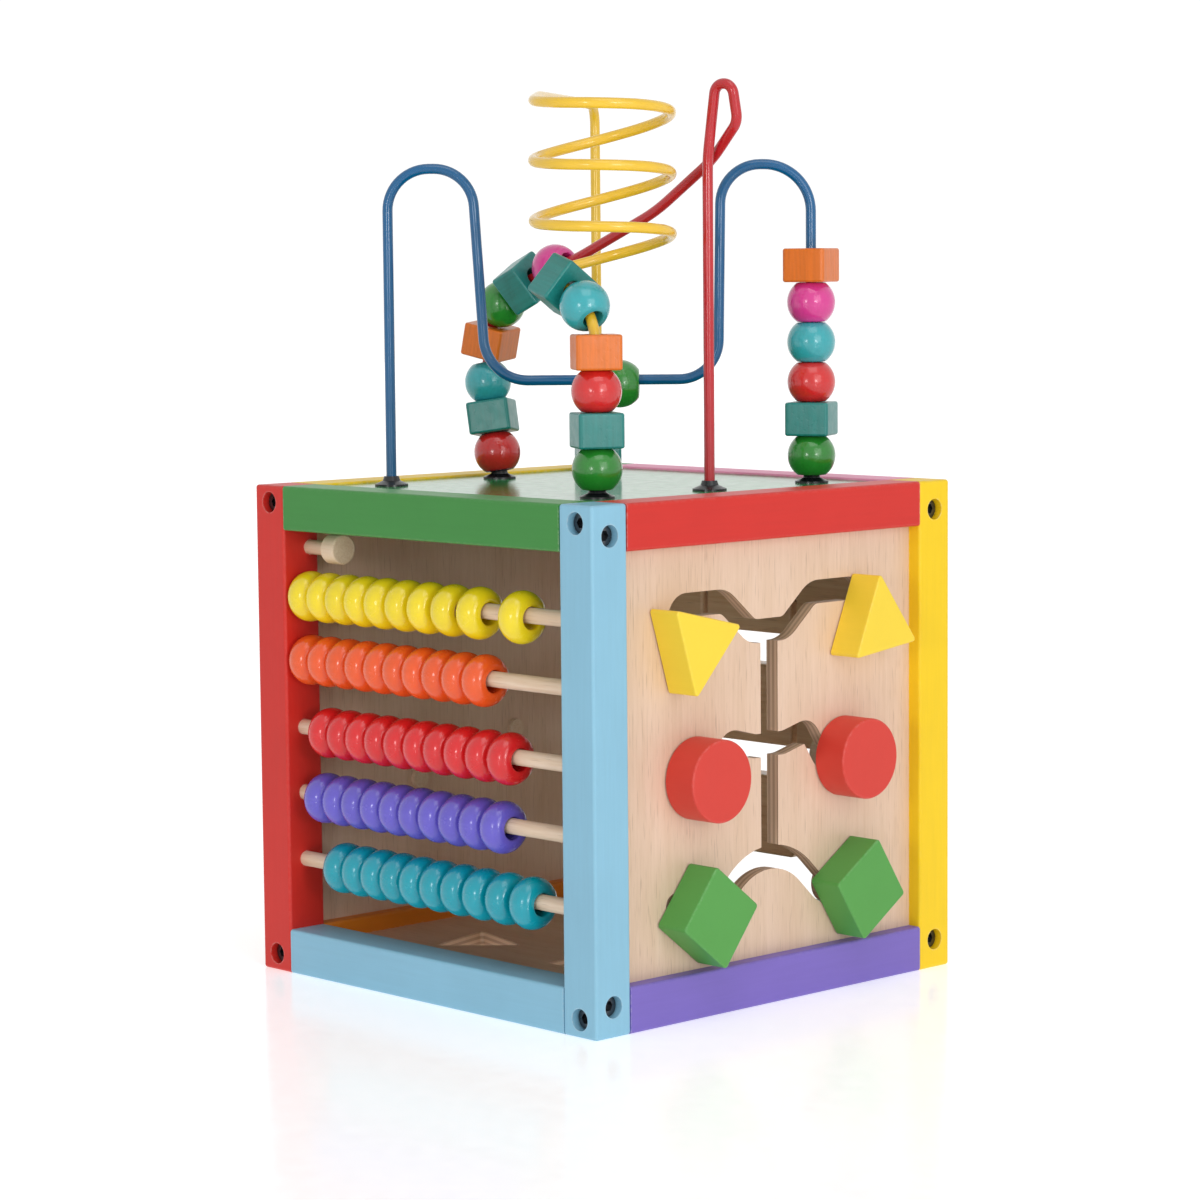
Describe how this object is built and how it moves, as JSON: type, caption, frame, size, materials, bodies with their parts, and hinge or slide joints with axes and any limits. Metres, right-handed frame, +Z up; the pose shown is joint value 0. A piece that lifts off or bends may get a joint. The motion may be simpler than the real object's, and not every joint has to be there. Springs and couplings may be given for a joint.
{
  "type": "wooden activity cube",
  "caption": "Wooden activity cube with a wire bead maze on top, counting beads in front, shapes sliding in slots at the side, meshing gears, spinning tiles and a floor with sorting holes.",
  "frame": {"origin": "centre of the cube's underside, on the surface that it stands on", "axes": "+Z up through the bead maze, -Y towards the side with the counting beads, +X towards the side with the sliding shapes"},
  "size_m": [0.2163, 0.2013, 0.3597],
  "materials": {
    "paint_light_blue": "satin paint on solid wood, grain just visible",
    "paint_red": "satin paint on solid wood, grain just visible",
    "paint_yellow": "satin paint on solid wood, grain just visible",
    "paint_green": "satin paint on solid wood, grain just visible",
    "paint_pink": "satin paint on solid wood, grain just visible",
    "paint_purple": "satin paint on solid wood, grain just visible",
    "paint_orange": "satin paint on solid wood, grain just visible",
    "panel_gloss_green": "high gloss lacquer on plywood",
    "birch_ply": "clear satin lacquer on birch plywood",
    "dowel_wood": "bare light wood dowel",
    "bolt_zinc": "dark zinc plating",
    "cap_black": "satin black",
    "wire_blue": "smooth powder coat",
    "wire_red": "smooth powder coat",
    "wire_yellow": "smooth powder coat",
    "bead_yellow": "glossy lacquer",
    "bead_orange": "glossy lacquer",
    "bead_red": "glossy lacquer",
    "bead_purple": "glossy lacquer",
    "bead_teal": "glossy lacquer",
    "shape_yellow": "semi-matt paint",
    "shape_red": "semi-matt paint",
    "shape_green": "semi-matt paint",
    "maze_teal": "glossy lacquer",
    "maze_teal_stain": "stain under clear lacquer, grain showing",
    "maze_green": "glossy lacquer",
    "maze_red": "glossy lacquer",
    "maze_pink": "glossy lacquer",
    "maze_orange": "glossy lacquer",
    "gear_red": "semi-matt paint on plywood",
    "gear_blue": "semi-matt paint on plywood",
    "gear_yellow": "semi-matt paint on plywood",
    "tile_wood": "clear satin lacquer on solid wood",
    "tile_mark_red": "screen-printed paint",
    "tile_mark_blue": "screen-printed paint"
  },
  "bodies": {
    "frame": {"post_front_left": "paint_red", "post_back_left": "paint_green", "post_front_right": "paint_light_blue", "post_back_right": "paint_yellow", "rail_top_front": "paint_green", "rail_top_back": "paint_pink", "rail_top_left": "paint_yellow", "rail_top_right": "paint_red", "rail_bottom_front": "paint_light_blue", "rail_bottom_back": "paint_green", "rail_bottom_left": "paint_orange", "rail_bottom_right": "paint_purple", "panel_top": "panel_gloss_green", "panel_floor": "birch_ply", "panel_slider": "birch_ply", "panel_gears": "birch_ply", "counting_rods": "dowel_wood", "tile_rods": "dowel_wood", "wire_blue": "wire_blue", "wire_red": "wire_red", "wire_yellow": "wire_yellow", "frame_bolts": "bolt_zinc", "stub_peg": "dowel_wood", "wire_caps": "cap_black", "gear_axles": "dowel_wood"},
    "counting_yellow": {"counting_beads_yellow": "bead_yellow"},
    "counting_orange": {"counting_beads_orange": "bead_orange"},
    "counting_red": {"counting_beads_red": "bead_red"},
    "counting_purple": {"counting_beads_purple": "bead_purple"},
    "counting_teal": {"counting_beads_teal": "bead_teal"},
    "counting_lone_yellow": {"counting_bead_lone_yellow": "bead_yellow"},
    "triangle_left": {"sliding_triangle_left": "shape_yellow"},
    "disc_left": {"sliding_disc_left": "shape_red"},
    "square_left": {"sliding_square_left": "shape_green"},
    "triangle_right": {"sliding_triangle_right": "shape_yellow"},
    "disc_right": {"sliding_disc_right": "shape_red"},
    "square_right": {"sliding_square_right": "shape_green"},
    "gear_middle": {"gear_middle": "gear_blue"},
    "gear_low": {"gear_low": "gear_yellow"},
    "gear_high": {"gear_high": "gear_red"},
    "blue_leg_beads": {"beads_blue_leg": "maze_teal"},
    "blue_run_bead": {"bead_blue_run": "maze_green"},
    "red_leg_beads": {"beads_red_leg": "maze_red"},
    "red_bend_brick": {"bead_red_bend_brick": "maze_orange"},
    "red_bend_ball": {"bead_red_bend_ball": "maze_green"},
    "red_slope_brick": {"bead_red_slope_brick": "maze_teal_stain"},
    "red_slope_ball": {"bead_red_slope_ball": "maze_pink"},
    "yellow_leg_beads": {"beads_yellow_leg": "maze_green"},
    "yellow_lead_ball": {"bead_yellow_lead_ball": "maze_teal"},
    "yellow_lead_brick": {"bead_yellow_lead_brick": "maze_teal_stain"},
    "yellow_back_bead": {"bead_yellow_back": "maze_teal_stain"},
    "tile_top_left": {"tile_top_left": "tile_wood"},
    "tile_top_centre": {"tile_top_centre": "tile_wood"},
    "tile_top_right": {"tile_top_right": "tile_wood"},
    "tile_middle_left": {"tile_middle_left": "tile_wood"},
    "tile_middle_centre": {"tile_middle_centre": "tile_wood"},
    "tile_middle_right": {"tile_middle_right": "tile_wood"},
    "tile_bottom_left": {"tile_bottom_left": "tile_wood"},
    "tile_bottom_centre": {"tile_bottom_centre": "tile_wood"},
    "tile_bottom_right": {"tile_bottom_right": "tile_wood"}
  },
  "joints": [
    {"name": "counting_yellow_slide", "type": "slide", "parent": "frame", "child": "counting_yellow", "axis": [1, 0, 0], "range_m": [0, 0.006]},
    {"name": "counting_orange_slide", "type": "slide", "parent": "frame", "child": "counting_orange", "axis": [1, 0, 0], "range_m": [0, 0.045]},
    {"name": "counting_red_slide", "type": "slide", "parent": "frame", "child": "counting_red", "axis": [1, 0, 0], "range_m": [-0.011, 0.031]},
    {"name": "counting_purple_slide", "type": "slide", "parent": "frame", "child": "counting_purple", "axis": [1, 0, 0], "range_m": [-0.0075, 0.036]},
    {"name": "counting_teal_slide", "type": "slide", "parent": "frame", "child": "counting_teal", "axis": [1, 0, 0], "range_m": [-0.019, 0.0195]},
    {"name": "counting_lone_yellow_slide", "type": "slide", "parent": "frame", "child": "counting_lone_yellow", "axis": [1, 0, 0], "range_m": [-0.006, 0.024]},
    {"name": "triangle_left_slide", "type": "slide", "parent": "frame", "child": "triangle_left", "axis": [0, 0, 1], "range_m": [0, 0.008]},
    {"name": "disc_left_slide", "type": "slide", "parent": "frame", "child": "disc_left", "axis": [0, 1, 0], "range_m": [0, 0.008]},
    {"name": "square_left_slide", "type": "slide", "parent": "frame", "child": "square_left", "axis": [0, -0.9241, 0.3821], "range_m": [-0.002, 0.0105]},
    {"name": "triangle_right_slide", "type": "slide", "parent": "frame", "child": "triangle_right", "axis": [0, 0, 1], "range_m": [0, 0.008]},
    {"name": "disc_right_slide", "type": "slide", "parent": "frame", "child": "disc_right", "axis": [0, -1, 0], "range_m": [0, 0.008]},
    {"name": "square_right_slide", "type": "slide", "parent": "frame", "child": "square_right", "axis": [0, 0.9241, 0.3821], "range_m": [-0.002, 0.0105]},
    {"name": "gear_middle_spin", "type": "hinge", "parent": "frame", "child": "gear_middle", "pos_m": [-0.099, 0.03, 0.088], "axis": [1, 0, 0], "continuous": true},
    {"name": "gear_low_spin", "type": "hinge", "parent": "frame", "child": "gear_low", "pos_m": [-0.099, -0.025, 0.072], "axis": [1, 0, 0], "continuous": true},
    {"name": "gear_high_spin", "type": "hinge", "parent": "frame", "child": "gear_high", "pos_m": [-0.099, 0.0058, 0.1399], "axis": [1, 0, 0], "continuous": true},
    {"name": "blue_leg_beads_slide", "type": "slide", "parent": "frame", "child": "blue_leg_beads", "axis": [0, 0, 1], "range_m": [0, 0.018]},
    {"name": "blue_run_bead_slide", "type": "slide", "parent": "frame", "child": "blue_run_bead", "axis": [0.7071, 0.7071, 0], "range_m": [-0.03, 0.018]},
    {"name": "red_leg_beads_spin", "type": "hinge", "parent": "frame", "child": "red_leg_beads", "pos_m": [-0.06328, 0, 0.21009], "axis": [-0.1781, 0, 0.984], "continuous": true},
    {"name": "red_bend_brick_spin", "type": "hinge", "parent": "frame", "child": "red_bend_brick", "pos_m": [-0.06663, 0, 0.25669], "axis": [0.246, 0, 0.9693], "continuous": true},
    {"name": "red_bend_ball_spin", "type": "hinge", "parent": "frame", "child": "red_bend_ball", "pos_m": [-0.05924, 0, 0.27202], "axis": [0.7083, 0, 0.7059], "continuous": true},
    {"name": "red_slope_brick_spin", "type": "hinge", "parent": "frame", "child": "red_slope_brick", "pos_m": [-0.04506, 0.00005, 0.2807], "axis": [0.9102, 0.0189, 0.4137], "continuous": true},
    {"name": "red_slope_ball_slide", "type": "slide", "parent": "frame", "child": "red_slope_ball", "axis": [0.9341, 0.0633, 0.3514], "range_m": [0, 0.032]},
    {"name": "yellow_leg_beads_spin", "type": "hinge", "parent": "frame", "child": "yellow_leg_beads", "pos_m": [0.061, -0.06, 0.22], "axis": [0, 0, 1], "continuous": true},
    {"name": "yellow_lead_ball_spin", "type": "hinge", "parent": "frame", "child": "yellow_lead_ball", "pos_m": [0.05319, -0.05838, 0.2724], "axis": [-0.7544, 0.1567, 0.6374], "continuous": true},
    {"name": "yellow_lead_brick_spin", "type": "hinge", "parent": "frame", "child": "yellow_lead_brick", "pos_m": [0.03803, -0.05544, 0.27969], "axis": [-0.9553, 0.1667, 0.2441], "continuous": true},
    {"name": "yellow_back_bead_slide", "type": "slide", "parent": "frame", "child": "yellow_back_bead", "axis": [0, 0, 1], "range_m": [0, 0.13]},
    {"name": "tile_top_left_spin", "type": "hinge", "parent": "frame", "child": "tile_top_left", "pos_m": [-0.0525, 0.091, 0.149], "axis": [1, 0, 0], "continuous": true},
    {"name": "tile_top_centre_spin", "type": "hinge", "parent": "frame", "child": "tile_top_centre", "pos_m": [0, 0.091, 0.149], "axis": [1, 0, 0], "continuous": true},
    {"name": "tile_top_right_spin", "type": "hinge", "parent": "frame", "child": "tile_top_right", "pos_m": [0.0525, 0.091, 0.149], "axis": [1, 0, 0], "continuous": true},
    {"name": "tile_middle_left_spin", "type": "hinge", "parent": "frame", "child": "tile_middle_left", "pos_m": [-0.0525, 0.091, 0.1015], "axis": [1, 0, 0], "continuous": true},
    {"name": "tile_middle_centre_spin", "type": "hinge", "parent": "frame", "child": "tile_middle_centre", "pos_m": [0, 0.091, 0.1015], "axis": [1, 0, 0], "continuous": true},
    {"name": "tile_middle_right_spin", "type": "hinge", "parent": "frame", "child": "tile_middle_right", "pos_m": [0.0525, 0.091, 0.1015], "axis": [1, 0, 0], "continuous": true},
    {"name": "tile_bottom_left_spin", "type": "hinge", "parent": "frame", "child": "tile_bottom_left", "pos_m": [-0.0525, 0.091, 0.054], "axis": [1, 0, 0], "continuous": true},
    {"name": "tile_bottom_centre_spin", "type": "hinge", "parent": "frame", "child": "tile_bottom_centre", "pos_m": [0, 0.091, 0.054], "axis": [1, 0, 0], "continuous": true},
    {"name": "tile_bottom_right_spin", "type": "hinge", "parent": "frame", "child": "tile_bottom_right", "pos_m": [0.0525, 0.091, 0.054], "axis": [1, 0, 0], "continuous": true}
  ],
  "couplings": [
    {"joint": "gear_low_spin", "follows": "gear_middle_spin", "ratio": -1},
    {"joint": "gear_high_spin", "follows": "gear_middle_spin", "ratio": -1}
  ]
}
